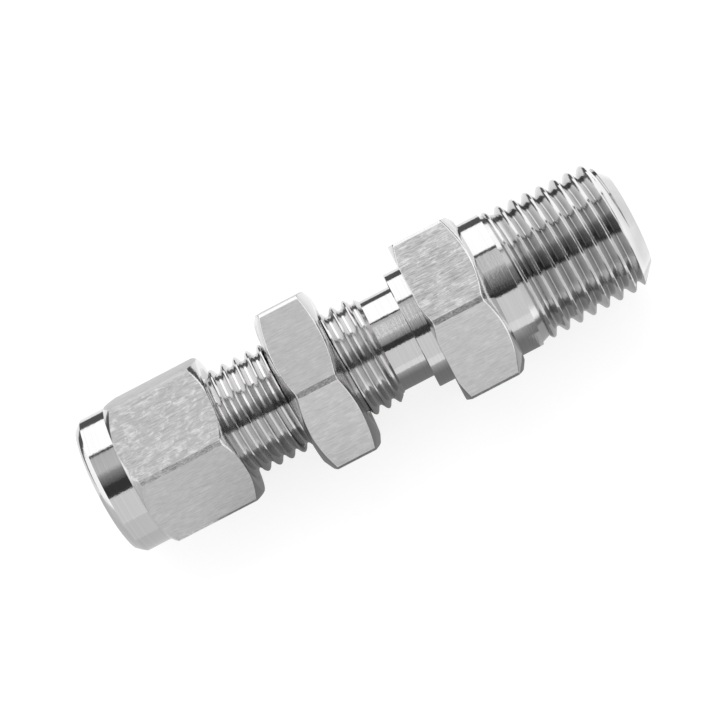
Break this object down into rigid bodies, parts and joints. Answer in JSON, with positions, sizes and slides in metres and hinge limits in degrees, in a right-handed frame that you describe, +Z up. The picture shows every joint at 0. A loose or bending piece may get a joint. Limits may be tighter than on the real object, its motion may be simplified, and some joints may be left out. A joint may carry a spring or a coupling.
{
  "type": "bulkhead connector",
  "caption": "Straight tube fitting for going through a panel: compression nut with ferrules at one end, panel nut on the body thread, wrench hexagon, and a tapered male pipe thread.",
  "frame": {"origin": "middle of the whole fitting on its axis", "axes": "+X along the fitting towards the tapered pipe thread, +Z up with the fitting lying on a flat of its wrench hexagon"},
  "size_m": [0.0548, 0.0182, 0.016],
  "materials": {
    "fitting_body": "bright turned stainless steel, hexagon flats as drawn",
    "tube_nut": "stainless steel, turned nose, satin hexagon flats",
    "bulkhead_nut": "stainless steel, satin hexagon flats",
    "ferrules": "smooth turned stainless steel"
  },
  "bodies": {
    "fitting_body": {"fitting_body": "fitting_body"},
    "ferrule_set": {"front_ferrule": "ferrules", "back_ferrule": "ferrules"},
    "tube_nut": {"tube_nut": "tube_nut"},
    "bulkhead_nut": {"bulkhead_nut": "bulkhead_nut"}
  },
  "joints": [
    {"name": "ferrule_travel", "type": "slide", "parent": "fitting_body", "child": "ferrule_set", "axis": [-1, 0, 0], "range_m": [0, 0.0055]},
    {"name": "tube_nut_turn", "type": "hinge", "parent": "ferrule_set", "child": "tube_nut", "pos_m": [-0.02, 0, 0], "axis": [-1, 0, 0], "range_deg": [0, 1530]},
    {"name": "bulkhead_nut_travel", "type": "slide", "parent": "fitting_body", "child": "bulkhead_nut", "axis": [1, 0, 0], "range_m": [-0.006, 0.0068]}
  ],
  "couplings": [
    {"joint": "ferrule_travel", "follows": "tube_nut_turn", "m_per_rad": 0.00020213}
  ]
}
